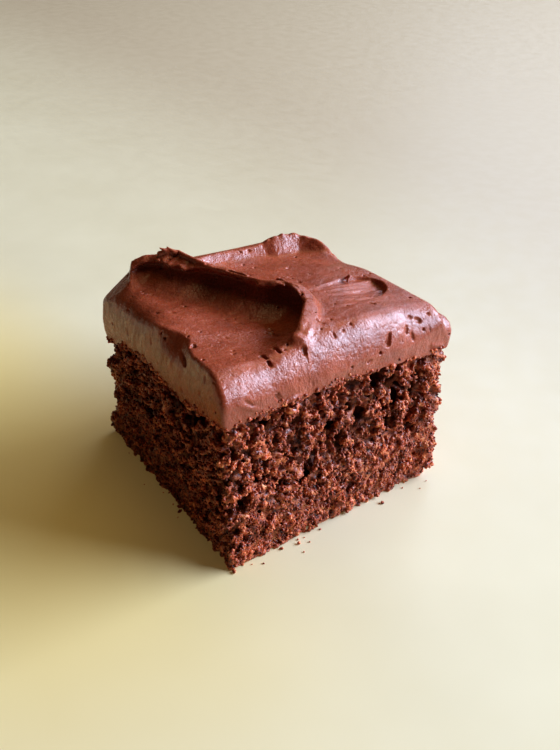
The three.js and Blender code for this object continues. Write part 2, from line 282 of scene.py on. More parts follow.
def outside_of_left(x, y, share=1):
    """The same for the left side, with a share of its lean towards the front corner."""
    return outside_of_side(LEFT, FRONT, x, y) - FRONT_CORNER_LEAN * smooth(*LEAN_SPAN, y) * share


def shares_of_plan(x, y):
    """A point of the plan as shares: u from the left to the right side, and v from the front to the back."""
    left = -outside_of_side(LEFT, FRONT, x, y)
    right = -outside_of_side(RIGHT, BACK, x, y)
    front = -outside_of_side(FRONT, RIGHT, x, y)
    back = -outside_of_side(BACK, LEFT, x, y)
    return left / (left + right), front / (front + back)


def reached_from(start, room):
    """The part of room, a grid of yes and no, that joins on to start."""
    reached = start & room
    while True:
        grown = reached.copy()
        for axis in range(3):
            to, of = np.moveaxis(grown, axis, 0), np.moveaxis(reached, axis, 0)
            to[1:] |= of[:-1]
            to[:-1] |= of[1:]
        grown &= room
        if (grown == reached).all():
            return reached
        reached = grown


def without_loose_bits(field, core):
    """The field with sealed bubbles filled, and with crumbs that hang on nothing taken away."""
    solid = field < 0
    edge = np.ones(field.shape, bool)
    edge[1:-1, 1:-1, 1:-1] = False
    open_air = reached_from(edge, ~solid)
    held = reached_from(core, solid)
    field = np.where(~solid & ~open_air, -BARELY, field)
    return np.where(solid & ~held, BARELY, field).astype(np.float32)


def skin(name, grid, field, material):
    """A closed mesh where the field changes sign, with one vertex in each cell that the surface crosses."""
    inside = field < 0
    count = np.zeros([n - 1 for n in field.shape], np.int8)
    corners = [(i, j, k) for i in (0, 1) for j in (0, 1) for k in (0, 1)]
    for i, j, k in corners:
        count += inside[i : i + count.shape[0], j : j + count.shape[1], k : k + count.shape[2]]
    crossed = (count > 0) & (count < 8)
    cells = np.argwhere(crossed)
    total = np.zeros((len(cells), 3), np.float32)
    hits = np.zeros(len(cells), np.float32)
    for a in corners:
        for axis in range(3):
            if a[axis]:
                continue
            b = tuple(1 if n == axis else a[n] for n in range(3))
            fa = field[tuple((cells + a).T)]
            fb = field[tuple((cells + b).T)]
            hit = (fa < 0) != (fb < 0)
            share = np.where(hit, fa / np.where(hit, fa - fb, 1), 0)
            point = np.array(a, np.float32) * hit[:, None]
            point[:, axis] += share
            total += point
            hits += hit
    vertices = grid.low + grid.step * (cells + total / hits[:, None])

    number = np.full(crossed.shape, -1, np.int32)
    number[crossed] = np.arange(len(cells))
    quads = []
    for axis in range(3):
        one, two = [n for n in range(3) if n != axis]
        before = np.moveaxis(inside, axis, 0)[:-1]
        after = np.moveaxis(inside, axis, 0)[1:]
        edges = np.argwhere(before != after)
        leaves = before[tuple(edges.T)]
        place = np.empty_like(edges)
        place[:, axis] = edges[:, 0]
        place[:, one] = edges[:, 1]
        place[:, two] = edges[:, 2]
        ring = []
        for back_one, back_two in ((0, 0), (1, 0), (1, 1), (0, 1)):
            cell = place.copy()
            cell[:, one] -= back_one
            cell[:, two] -= back_two
            ring.append(number[tuple(cell.T)])
        quad = np.stack(ring, 1)
        flip = leaves if axis == 1 else ~leaves
        quad[flip] = quad[flip][:, ::-1]
        quads.append(quad)
    return make_mesh(name, vertices, np.concatenate(quads), material)


def make_mesh(name, vertices, faces, material):
    """A smooth-shaded object from vertices in millimetres and faces that all have as many corners."""
    places = (np.asarray(vertices) - (*MIDDLE, 0)) * MM
    mesh = bpy.data.meshes.new(name)
    mesh.vertices.add(len(places))
    mesh.vertices.foreach_set("co", places.astype(np.float32).ravel())
    mesh.loops.add(faces.size)
    mesh.loops.foreach_set("vertex_index", faces.astype(np.int32).ravel())
    mesh.polygons.add(len(faces))
    mesh.polygons.foreach_set("loop_start", np.arange(len(faces), dtype=np.int32) * faces.shape[1])
    mesh.update(calc_edges=True)
    mesh.validate()
    mesh.shade_smooth()
    mesh.materials.append(material)
    made = bpy.data.objects.new(name, mesh)
    bpy.context.scene.collection.objects.link(made)
    return made


# The sponge

SPONGE_STEP = 0.4
CORE_DEPTH = 6.0  # no pore reaches further in than this
CRUMB_DEPTH = (1.0, 2.4)  # the layer of separate lumps, where the crumb is fine and where it is open
OPEN_BAND = (12, 27)  # heights between which the crumb opens up
RECESS_DEPTH = 2.2  # under the frosting, on the left side
RECESS_HEIGHT = 2.6

# Lumps and pores: how many are drawn, and between which depths under the cut. A size is the least radius,
# the most that is added to it, and a power that makes large ones rarer.
LUMPS = 13000
LUMP_DEPTHS = (0.35, 2.7)
LUMP_SIZE = (0.48, 0.55, 1.7)
COARSE_PORES = 640
COARSE_DEPTHS = (-0.3, 3.0)
COARSE_SIZE = (0.75, 1.2, 1.6)
FINE_PORES = 2600
FINE_DEPTHS = (0, 1.6)
FINE_SIZE = (0.35, 0.35, 1)
DRAWS = 12  # places drawn for each one wanted, since most fall elsewhere
WARP = 0.5  # how uneven they are
WARP_ROOM = 1.5  # how far they then reach, in radii

# Crumbs that sit on the surface: how many, and their least and largest radius
GRAINS = 9900
GRAIN_SIZES = (0.18, 0.38)
STUCK_CRUMBS = 9900
STUCK_SIZES = (0.28, 0.60)
EDGE_CRUMBS = 650
LOOSE_CRUMBS = 22
BALL_CORNERS = 12
MOST_TRIANGLES = 195000  # of one piece


def sponge_body(grid):
    """Distance outside the sponge's block, crags and all, and outside its four sides alone."""
    x, y, z = grid.x, grid.y, grid.z
    u, v = shares_of_plan(x, y)
    top = table_height(SPONGE_TOP, u, v)
    crag = CRAG_DEPTH * crag_noise(grid, CRAG_SIZE) * smooth(0, CUT_FOOT, z)
    front = outside_of_side(FRONT, RIGHT, x, y)
    back = outside_of_side(BACK, LEFT, x, y)
    left = outside_of_left(x, y, smooth(4, 40, z))
    recess = bell((z - top + 2.5) / RECESS_HEIGHT) * smooth(6, -4, y) * smooth(-37, -31, y)
    left = left + RECESS_DEPTH * recess
    right = outside_of_side(RIGHT, BACK, x, y) - RIGHT_FACE_LEAN * smooth(2, 16, z)
    sides = soft_max(np.maximum(front, back), np.maximum(left, right), 1.0) - crag
    ends = np.maximum(z - top, UNDERSIDE - z)
    return np.maximum(sides, ends), sides


def box_of_cells(grid, low, high):
    """The part of the grid between two places, as slices, some of which are empty outside the grid."""
    first = np.maximum(np.floor((low - grid.low) / grid.step).astype(int), 0)
    last = np.minimum(np.ceil((high - grid.low) / grid.step).astype(int) + 1, grid.shape)
    return tuple(slice(a, max(a, b)) for a, b in zip(first, last))


def stamp_balls(field, grid, centres, radii, stretch, warp, cut):
    """Adds uneven stretched balls to the field, or cuts them out of it."""
    for centre, radius, scale in zip(centres, radii, stretch):
        reach = radius * scale.max() * WARP_ROOM + grid.step
        box = box_of_cells(grid, centre - reach, centre + reach)
        dx = (grid.x[box[0]] - centre[0]) / scale[0]
        dy = (grid.y[:, box[1]] - centre[1]) / scale[1]
        dz = (grid.z[:, :, box[2]] - centre[2]) / scale[2]
        outside = np.sqrt(dx * dx + dy * dy + dz * dz) - radius * (1 + WARP * warp[box])
        if cut:
            field[box] = np.maximum(field[box], -outside)
        else:
            field[box] = np.minimum(field[box], outside)


def from_corners(x, y):
    """Distance from the nearest upright corner, without the front one."""
    return np.min([np.hypot(x - corner[0], y - corner[1]) for corner in (RIGHT, BACK, LEFT)], 0)


def openness_at(x, y, z):
    """How open the crumb is, from 0 low down to 1 higher up, a little sooner towards the front corner."""
    return smooth(*OPEN_BAND, z - 0.1 * (x + y))


def drawn_sizes(rng, count, least, more, power):
    """Random sizes from least upwards, by up to more, of which the large ones are rarer at a higher power."""
    return least + more * rng.random(count) ** power


def places_near_sides(sides, grid, count, shallowest, deepest, seed):
    """Random places in the sponge between two depths under its cut sides."""
    rng = np.random.default_rng(seed)
    places = grid.low + rng.random((count * DRAWS, 3)) * grid.step * (np.array(grid.shape) - 1)
    cell = ((places - grid.low) / grid.step).astype(int)
    depth = -sides[tuple(cell.T)]
    return places[(depth > shallowest) & (depth < deepest)][:count], rng


def make_sponge(material):
    grid = Grid((-39.5, -39.5, -1.5), (38.5, 38.5, 46.0), SPONGE_STEP)
    body, sides = sponge_body(grid)
    warp = grid.noise(0.9, 11)
    near_side = smooth(-CORE_DEPTH, -CORE_DEPTH / 2, sides)
    firm = smooth(8, 2, from_corners(grid.x, grid.y))
    crumb_depth = mix(*CRUMB_DEPTH, openness_at(grid.x, grid.y, grid.z)) * (1 - 0.6 * firm)
    field = np.maximum(body, sides + crumb_depth + 0.35 * grid.noise(2.0, 13))

    places, rng = places_near_sides(sides, grid, LUMPS, *LUMP_DEPTHS, 21)
    radii = drawn_sizes(rng, len(places), *LUMP_SIZE)
    kept = rng.random(len(places)) > 0.12 * openness_at(*places.T)
    stretch = rng.uniform(0.8, 1.25, (kept.sum(), 3))
    stamp_balls(field, grid, places[kept], radii[kept], stretch, warp, cut=False)

    places, rng = places_near_sides(sides, grid, COARSE_PORES, *COARSE_DEPTHS, 22)
    inner = from_corners(places[:, 0], places[:, 1]) > 4.5
    places = places[(rng.random(len(places)) < 0.02 + 0.98 * openness_at(*places.T)) & inner]
    radii = drawn_sizes(rng, len(places), *COARSE_SIZE)
    stamp_balls(field, grid, places, radii, rng.uniform(0.75, 1.5, (len(places), 3)), warp, cut=True)

    places, rng = places_near_sides(sides, grid, FINE_PORES, *FINE_DEPTHS, 23)
    places = places[from_corners(places[:, 0], places[:, 1]) > 3.5]
    radii = drawn_sizes(rng, len(places), *FINE_SIZE)
    stamp_balls(field, grid, places, radii, rng.uniform(0.8, 1.3, (len(places), 3)), warp, cut=True)

    rough = 0.16 * grid.noise(0.8, 12) * near_side
    limit = np.maximum(body - 0.5 * smooth(0, 4, grid.z), UNDERSIDE - grid.z)
    field = np.maximum(field + rough, limit)
    core = sides < -CORE_DEPTH
    field = without_loose_bits(np.where(core, body, field), core & (body < 0))
    made = skin("sponge_crumb", grid, field, material)
    cells = np.round((places_of(made) - grid.low) / grid.step)
    cells = np.clip(cells, 0, np.array(sides.shape) - 1).astype(int)
    mark_depth(made, -sides[tuple(cells.T)])
    return made


def places_of(piece):
    """The vertices of a piece in millimetres."""
    places = np.empty(3 * len(piece.data.vertices), np.float32)
    piece.data.vertices.foreach_get("co", places)
    return places.reshape(-1, 3) / MM + (*MIDDLE, 0)


def mark_depth(piece, depth):
    """Notes on each vertex how far it lies under the cut, for the crumb's painted shade deep down and painted
    light where it stands out.
    """
    noted = piece.data.attributes.new("depth", "FLOAT", "POINT")
    noted.data.foreach_set("value", depth.astype(np.float32))


def icosahedron():
    """Corners and faces of a ball of twenty triangles, one unit in radius."""
    g = (1 + math.sqrt(5)) / 2
    corners = [p for a in (-1, 1) for b in (-g, g) for p in ((0, a, b), (a, b, 0), (b, 0, a))]
    corners = np.array(corners) / math.hypot(1, g)
    longest_edge = 1.1
    faces = []
    for i in range(BALL_CORNERS):
        for j in range(i + 1, BALL_CORNERS):
            for k in range(j + 1, BALL_CORNERS):
                a, b, c = corners[[i, j, k]]
                edges = (a - b, b - c, c - a)
                if max(np.linalg.norm(edge) for edge in edges) < longest_edge:
                    faces.append((i, j, k) if np.dot(np.cross(b - a, c - a), a) > 0 else (i, k, j))
    return corners, np.array(faces)


def scatter_grains(name, piece, near, count, sizes, seed, material):
    """Uneven little crumbs partly sunk in a piece's surface, at some of the vertices where near holds."""
    rng = np.random.default_rng(seed)
    places = places_of(piece)
    normals = np.empty(places.size, np.float32)
    piece.data.vertices.foreach_get("normal", normals)
    chosen = rng.choice(np.flatnonzero(near), count, replace=False)
    radii = sizes[0] + (sizes[1] - sizes[0]) * rng.random(count) ** 2
    raised = normals.reshape(-1, 3)[chosen] * (radii * 0.2)[:, None]
    made = make_grains(name, places[chosen] + raised, radii, rng, material)
    depth = np.zeros(len(places), np.float32)
    if "depth" in piece.data.attributes:
        piece.data.attributes["depth"].data.foreach_get("value", depth)
    mark_depth(made, np.repeat(depth[chosen], BALL_CORNERS))
    return made


def make_grains(name, centres, radii, rng, material):
    """Crumbs with uneven corners at the given places, all in one mesh."""
    corners, faces = icosahedron()
    count = len(centres)
    shapes = corners[None] * rng.uniform(0.7, 1.3, (count, BALL_CORNERS, 1))
    shapes = shapes * rng.uniform(0.75, 1.3, (count, 1, 3))
    vertices = centres[:, None] + radii[:, None, None] * shapes
    numbered = faces[None] + BALL_CORNERS * np.arange(count)[:, None, None]
    return make_mesh(name, vertices.reshape(-1, 3), numbered.reshape(-1, 3), material)


def inward(x, y):
    """How far inside the nearest side of the plan a point is."""
    sides = ((FRONT, RIGHT), (RIGHT, BACK), (BACK, LEFT), (LEFT, FRONT))
    return np.min([-outside_of_side(*side, x, y) for side in sides], 0)


def on_cut_sides(piece, deepest):
    """Which of the sponge's vertices are on its cut sides, down to some depth."""
    x, y, z = places_of(piece).T
    return (inward(x, y) < deepest) & (z > 0.7) & (z < table_height(SPONGE_TOP, *shares_of_plan(x, y)) - 0.9)


def on_lower_edge(piece):
    """Which of the frosting's vertices are along the uneven lower edge of its sides."""
    x, y, z = places_of(piece).T
    above = z - table_height(SPONGE_TOP, *shares_of_plan(x, y))
    return (inward(x, y) < 1.2) & (above > -0.8) & (above < 0.9 + 0.9 * ripples(x / 3, y / 3, 65))


def drop_loose_crumbs(material):
    """A few crumbs that fell beside the cut faces."""
    rng = np.random.default_rng(67)
    share = rng.random(LOOSE_CRUMBS)[:, None]
    away = drawn_sizes(rng, LOOSE_CRUMBS, 0.4, 5.0, 2.2)
    radii = drawn_sizes(rng, LOOSE_CRUMBS, 0.18, 0.42, 2)
    on_front = rng.random(LOOSE_CRUMBS) < 0.7
    front = mix(np.array(FRONT), np.array(RIGHT), share) - np.stack((0 * away, away), 1)
    left = mix(np.array(FRONT), np.array(LEFT), share) - np.stack((away, 0 * away), 1)
    plan = np.where(on_front[:, None], front, left)
    return make_grains("loose_crumbs", np.column_stack((plan, radii * 0.8)), radii, rng, material)


def thinned(piece, most):
    """Takes away the flattest vertices of a piece until it has at most that many triangles."""
    count = sum(len(p.vertices) - 2 for p in piece.data.polygons)
    if count > most:
        change = piece.modifiers.new("thinned", "DECIMATE")
        change.ratio = most / count
    return piece


# The frosting

FROSTING_STEP = 0.3

# The share of its height that the wave has lost, by the distance out from its shelf: at the back, and along
# the front
BACK_FLANK = ((0, 0), (0.8, 0.05), (2.2, 0.26), (4.0, 0.60), (6.0, 0.84), (8.5, 1))
FRONT_FLANK = ((0, 0), (1.4, 0.05), (2.8, 0.22), (3.8, 0.50), (4.5, 0.80), (5.4, 1))
# How far the wave's flat top reaches out from its edge, at shares of the way along it
SHELF = ((0, 2.0), (0.1, 2.5), (0.2, 4.6), (0.26, 4.2), (0.34, 1.2), (0.5, 0.6), (0.6, 0))
# The hollow wall under its edge: the share of the way down, and how far out from the edge it stands there
WALL = ((0, 1.4), (0.3, 1.6), (0.5, 1.6), (0.66, 1.0), (0.8, -0.2), (0.92, -2.0), (1, -4.6))
LIP_DROOP = 0.6
LIP_THICKNESS = 0.7
LIP_REACH = 1.4  # how far the thin lip hangs over the wall
FRONT_PART = (0.52, 0.66)  # shares along the wave between which its flank changes to that of the front
TORN_LIP = (0.70, 0.14)  # where along the far lip its crest is torn, and over what share of it
TUBE_ROOM = 2.5  # round a tube, where the field may still blend with it
WAVE_LENGTH = 95

wave_edge = spline_points(WAVE_EDGE, 110)
lip = spline_points(LIP_CREST, 40)
slope_line = np.array([SLOPE_START, SLOPE_END])


def ripples(u, v, seed):
    """Smooth random numbers from -1 to 1 over a plane, with one swell to a unit square."""
    table = np.random.default_rng(seed).uniform(-1, 1, (128, 128))
    i, j = np.floor(u).astype(int), np.floor(v).astype(int)
    s, t = smooth(0, 1, u - i), smooth(0, 1, v - j)
    value = lambda di, dj: table[(i + di) % 128, (j + dj) % 128]
    return mix(mix(value(0, 0), value(1, 0), s), mix(value(0, 1), value(1, 1), s), t).astype(np.float32)


def step_curve(stops, t):
    """Values read at t from pairs of a place and a value, with straight lines between them."""
    places, values = zip(*stops)
    return np.interp(t, places, values).astype(np.float32)


def rolled(outside, width, drop):
    """How far a rounded edge has fallen near a side, which is reached where outside is 0."""
    t = np.clip(1 + outside / width, 0, 1)
    return drop * (1 - np.sqrt(1 - t * t))


def sloped(outside, width, drop):
    """The same for an edge that slopes ever more steeply down to the side."""
    return drop * np.clip(1 + outside / width, 0, 1) ** 2


def knife_marks(along, z, seed):
    """Low ridges that the knife drew nearly straight up a side of the frosting, stronger in some places."""
    slanted = along + 0.3 * z
    strength = 0.02 + 0.09 * np.abs(ripples(along / 6, z / 5, seed)) ** 1.5
    broad = ripples(slanted / 1.2, z / 3.5, seed + 1)
    narrow = ripples(slanted / 0.6, z / 1.8, seed)
    return strength * (broad + 0.5 * narrow)


def frosting_base(x, y):
    """Height of the frosting's top without the wave, distance from the wave's edge, and share along it."""
    u, v = shares_of_plan(x, y)
    across_lip, lip_share = along_path(lip, x, y)
    crest = step_curve(list(zip(np.linspace(0, 1, len(lip)), lip[:, 2])), lip_share)
    torn = bell((lip_share - TORN_LIP[0]) / TORN_LIP[1]) * bell(across_lip / 1.1)
    crest = crest + (0.08 + 0.5 * torn) * ripples(x / 1.3, y / 1.1, 35)
    fall_forward = np.maximum(0, -across_lip - 0.3) * LIP_FRONT_SLOPE
    fall = fall_forward + np.maximum(0, across_lip - 0.5) * LIP_BACK_SLOPE
    trough = TROUGH_DEPTH * bell((across_lip + TROUGH_WIDTH) / TROUGH_WIDTH) * smooth(*TROUGH_START, x)
    along = x - TIP_MIDDLE[0]
    across = y - TIP_MIDDLE[1] - TIP_SLANT * along
    reach = np.hypot(np.maximum(0, along) / TIP_REACH, across / TIP_HALF_WIDTH)
    inside = 1 - smooth(1 - TIP_EDGE, 1, reach)
    drawn = smooth(-TIP_TAIL, TIP_REACH / 2, along) * inside
    tilted = mix(1, TIP_FAR_SHARE, smooth(-1, 5, across))
    drag_lines = ripples((across + TIP_SLANT * along) / 0.9, along / 9, 41)
    step = TIP_DEPTH * drawn * tilted + 0.34 * drawn * drag_lines
    whole = soft_max(table_height(FROSTING_TOP, u, v) - trough, crest - fall, LIP_BLEND) - step

    across_wave, share = along_path(wave_edge, x, y)
    in_hollow = np.maximum(0, -across_wave)
    forward = np.maximum(0, (HOLLOW_FRONT[0] - y) / (HOLLOW_FRONT[0] - HOLLOW_FRONT[1]))
    climb = HOLLOW_FRONT_RISE * forward**1.5
    bowl = BOWL_RISE * bell(in_hollow / BOWL_WIDTH)
    floor = HOLLOW_FLOOR + bowl + HOLLOW_RISE * np.maximum(0, in_hollow - HOLLOW_REACH) + climb
    floor = soft_min(whole, floor, HOLLOW_BLEND)
    surface = mix(floor, whole, smooth(-1, 2, across_wave))

    uneven = 0.45 * ripples(x / 8, y / 9, 63) + 0.07 * ripples((x - 0.4 * y) / 2.0, y / 3.5, 64)
    outside = outside_of_side(FRONT, RIGHT, x, y) + uneven
    surface = surface - sloped(outside, ROLL_WIDTH, step_curve(ROLL_DROP, x))
    left_roll = sloped(outside_of_left(x, y), LEFT_ROLL_WIDTH, LEFT_ROLL_DROP)
    surface = surface - smooth(*LEFT_ROLL_SPAN, y) * left_roll
    for side in ((RIGHT, BACK), (BACK, LEFT)):
        surface = surface - rolled(outside_of_side(*side, x, y), SIDE_ROLL_WIDTH, SIDE_ROLL_DROP)
    return surface, across_wave, share


def wave_field(grid, base, across, share):
    """Distance outside the wave, which has an outer flank and a hollow inner wall with a thin lip over it."""
    length = WAVE_LENGTH * share
    still = 0 * length
    crumple = 0.24 * ripples(length / 3.1, still, 31) + 0.13 * ripples(length / 1.4, still, 32)
    edge_height = step_curve(list(zip(np.linspace(0, 1, len(wave_edge)), wave_edge[:, 2])), share) + crumple
    whole = smooth(0, 0.06, share) * smooth(1, 0.92, share)
    shelf = step_curve(SHELF, share)
    beyond = across - shelf
    front = smooth(*FRONT_PART, share)
    fall = mix(step_curve(BACK_FLANK, beyond), step_curve(FRONT_FLANK, beyond), front)
    droop = LIP_DROOP * (1 - smooth(0, 1, np.clip(across / np.maximum(shelf, 0.7), 0, 1)))
    outer_top = mix(edge_height + LIP_DROOP - droop, base, fall)
    drawn = smooth(0.5, 0.62, share) * smooth(1, 0.85, fall)
    outer_top = outer_top + 0.22 * drawn * ripples(across / 0.85, length / 12, 36)
    outer_top = mix(base, outer_top, smooth(1, 0.93, share)) - 3 * smooth(0.94, 1, share)
    reach = LIP_REACH * whole * (1 + 0.4 * ripples(length / 2.3, still, 33))
    foot = np.minimum(base, edge_height - 0.3)
    depth = edge_height - grid.z
    down = np.clip(depth / np.maximum(edge_height - foot, 0.3), 0, 1)
    lip_at = -reach * smooth(LIP_THICKNESS + 1.0, LIP_THICKNESS, depth)
    wall_at = step_curve(WALL, down) + 0.1 * ripples(length / 14, depth / 0.8, 34)
    wall = (lip_at + wall_at * mix(0.4, 1, whole) - across) * 0.75
    return soft_max(grid.z - outer_top, wall, 0.3)


def tube(grid, points, radii):
    """The box of the grid round a bent tube, and the distance outside the tube there."""
    path = np.array(points, np.float32)
    radii = np.broadcast_to(np.array(radii, np.float32), len(path))
    margin = radii.max() + TUBE_ROOM
    box = box_of_cells(grid, path.min(0) - margin, path.max(0) + margin)
    place = (grid.x[box[0]], grid.y[:, box[1]], grid.z[:, :, box[2]])
    least = np.float32(1e3)
    for start, end, r0, r1 in zip(path[:-1], path[1:], radii[:-1], radii[1:]):
        step = end - start
        t = sum((p - s) * d for p, s, d in zip(place, start, step)) / (step @ step)
        t = np.clip(t, 0, 1)
        away = np.sqrt(sum((p - s - t * d) ** 2 for p, s, d in zip(place, start, step)))
        least = np.minimum(least, away - mix(r0, r1, t))
    return box, least


# Strands of frosting that stand out: each is a path in space and the strand's radius at each of its points
CREST_STRANDS = (
    (((-13.6, 15.0, 56.7), (-12.3, 11.6, 56.9), (-10.4, 7.8, 57.2), (-8.5, 4.3, 57.1), (-7.1, 0.5, 57.3)),
     (0.3, 0.65, 0.5, 0.75, 0.5)),
    (((-8.0, 2.6, 57.0), (-7.3, -0.2, 57.2), (-5.8, -3.2, 57.4), (-3.6, -5.7, 57.5), (-1.9, -8.6, 57.4)),
     (0.2, 0.65, 0.55, 0.6, 0.3)),
    (((-15.6, 26.2, 56.6), (-14.1, 23.3, 57.0), (-13.9, 19.5, 57.2), (-13.1, 15.1, 57.4),
      (-11.4, 10.6, 57.4)), (0.5, 0.8, 0.8, 0.7, 0.3)),
    (((-18.2, 25.9, 58.3), (-17.4, 25.2, 57.9), (-16.4, 25.0, 57.3), (-15.4, 24.6, 56.9)),
     (0.2, 0.45, 0.8, 0.9)),
    (((-16.4, 25.2, 58.6), (-15.9, 24.5, 58.0), (-15.0, 23.1, 57.2)), (0.15, 0.35, 0.6)),
    (((-18.2, 26.2, 56.6), (-16.6, 25.4, 56.7), (-15.0, 24.0, 56.8)), (0.7, 1.0, 0.9)),
    (((-1.5, -4.9, 57.6), (-0.9, -6.6, 57.7), (-0.6, -9.6, 57.5), (-0.8, -12.8, 57.3), (-1.7, -16.3, 56.9)),
     (0.3, 0.5, 0.55, 0.5, 0.25)),
)
RIDGE_END_STRANDS = (
    (((-3.4, -19.6, 57.0), (-9.6, -26.0, 56.3), (-14.3, -30.1, 53.9), (-16.1, -33.4, 50.9)),
     (0.5, 0.6, 0.5, 0.2)),
    (((-2.1, -18.4, 57.2), (-10.0, -27.2, 56.4), (-13.4, -30.8, 53.6), (-14.3, -33.9, 50.0)),
     (0.4, 0.5, 0.45, 0.2)),
    (((-1.3, -18.5, 57.1), (-8.8, -27.0, 56.3), (-11.8, -31.2, 53.9), (-12.1, -33.6, 50.5)),
     (0.4, 0.5, 0.45, 0.2)),
    (((-0.6, -18.7, 57.0), (-7.4, -26.8, 56.2), (-10.1, -30.6, 54.0), (-10.7, -33.4, 50.5)),
     (0.4, 0.5, 0.4, 0.2)),
    (((-1.4, -21.7, 56.3), (-6.0, -27.8, 55.2), (-8.4, -30.0, 54.1), (-8.9, -32.3, 52.0)),
     (0.4, 0.5, 0.4, 0.2)),
)
SMEARS = (
    (((20.0, -7.1, 52.5), (21.3, -6.6, 53.2), (21.9, -5.6, 53.0), (21.4, -4.9, 52.3)), (0.4, 0.5, 0.5, 0.35)),
    (((19.0, -25.7, 53.6), (14.8, -28.0, 53.4), (9.8, -30.8, 52.8)), (0.25, 0.5, 0.3)),
    (((-21.3, -35.4, 43.5), (-18.0, -35.5, 43.9), (-14.8, -35.3, 44.2)), (0.4, 0.8, 0.4)),
    (((-33.2, -36.2, 48.0), (-29.6, -35.8, 45.7), (-25.0, -35.4, 43.6)), (0.4, 0.8, 0.5)),
    (((27.9, -32.9, 43.0), (31.1, -32.9, 42.1)), (0.6, 0.6)),
    (((-23.8, -28.8, 52.0), (-23.0, -30.1, 52.0)), (0.35, 0.5)),
    (((-18.6, -27.6, 52.8), (-18.4, -28.7, 52.9)), (0.3, 0.4)),
)
GROOVES = (
    (((-18.1, 24.6, 56.6), (-17.3, 20.6, 56.8), (-16.2, 17.8, 56.8), (-14.9, 15.2, 57.1),
      (-13.2, 13.1, 57.3)), (0.3, 0.5, 0.5, 0.45, 0.2)),
    (((-9.4, 5.8, 57.5), (-8.2, 3.0, 57.7), (-7.3, 0.6, 57.8), (-6.2, -1.5, 57.9)), (0.15, 0.35, 0.3, 0.15)),
)
# Air pits dragged open by the knife: where each starts and ends, and its radius there
PITS = (
    (((-12.6, -31.8, 53.5), (-12.6, -32.3, 52.6)), (0.85, 0.6)),
    (((-4.1, -25.7, 55.8), (-3.3, -26.7, 55.5)), (0.55, 0.45)),
    (((-17.8, -27.2, 53.0), (-18.3, -30.2, 53.5)), (0.55, 0.4)),
    (((-21.9, -28.2, 52.7), (-22.0, -32.2, 52.3)), (0.6, 0.5)),
    (((-11.2, -17.0, 50.2), (-11.4, -20.0, 51.0)), (0.55, 0.35)),
    (((-10.1, -14.5, 49.9), (-10.2, -15.0, 49.9)), (0.4, 0.3)),
    (((-14.7, -7.3, 49.9), (-14.1, -8.6, 49.9)), (0.35, 0.25)),
    (((-16.6, -4.1, 50.0), (-16.2, -4.9, 50.0)), (0.35, 0.25)),
    (((-22.5, -13.7, 51.0), (-22.1, -14.5, 51.0)), (0.35, 0.25)),
    (((-26.6, 5.2, 50.5), (-26.1, 4.5, 50.5)), (0.4, 0.3)),
    (((-31.4, -36.3, 48.2), (-29.6, -36.3, 46.6)), (0.4, 0.35)),
    (((-12.5, -35.5, 46.4), (-12.1, -35.5, 45.4)), (0.3, 0.35)),
    (((13.3, -32.3, 50.2), (12.1, -33.5, 48.5)), (0.4, 1.0)),
    (((21.7, -30.3, 51.6), (22.3, -30.4, 51.5)), (0.6, 0.4)),
    (((23.3, -30.9, 51.0), (24.0, -31.3, 50.5)), (0.6, 0.8)),
    (((27.6, -30.4, 51.0), (28.0, -30.8, 51.1)), (0.4, 0.3)),
    (((19.5, -31.6, 50.1), (19.0, -32.4, 49.0)), (0.35, 0.55)),
    (((20.7, -32.5, 48.4), (20.7, -33.1, 47.1)), (0.3, 0.5)),
    (((30.9, -20.0, 51.7), (31.3, -21.4, 51.6)), (0.55, 0.45)),
    (((-33.6, -11.8, 49.2), (-34.6, -15.6, 48.6)), (0.7, 0.9)),
    (((-31.2, -13.8, 51.6), (-32.0, -15.0, 51.4)), (0.4, 0.7)),
    (((-36.6, -27.8, 51.6), (-36.8, -28.0, 50.4)), (0.45, 0.3)),
    (((-33.9, 16.5, 42.4), (-34.0, 16.1, 41.2)), (0.4, 0.55)),
    (((-34.4, 2.1, 46.8), (-34.5, 1.9, 45.4)), (0.4, 0.5)),
    (((10.4, 25.9, 51.0), (11.0, 25.8, 51.1)), (0.5, 0.35)),
)
SMALL_PITS = 170
SMALL_PIT_SIZES = (0.24, 0.5)


def cut_small_pits(field, grid):
    """Small pits at random places of the skin, most of them a little longer than they are wide."""
    rng = np.random.default_rng(71)
    shell = np.argwhere(np.abs(field) < 0.5 * grid.step)
    shell = shell[grid.low[2] + grid.step * shell[:, 2] > 38]
    middles = grid.low + grid.step * shell[rng.choice(len(shell), SMALL_PITS, replace=False)]
    for middle in middles:
        radius = rng.uniform(*SMALL_PIT_SIZES) * rng.uniform(0.6, 1)
        half = rng.normal(0, 0.35, 3) + (0, 0, rng.uniform(0.1, 0.7))
        box, outside = tube(grid, (middle - half, middle + half), (radius, radius * 0.7))
        field[box] = soft_max(field[box], -outside, 0.15)


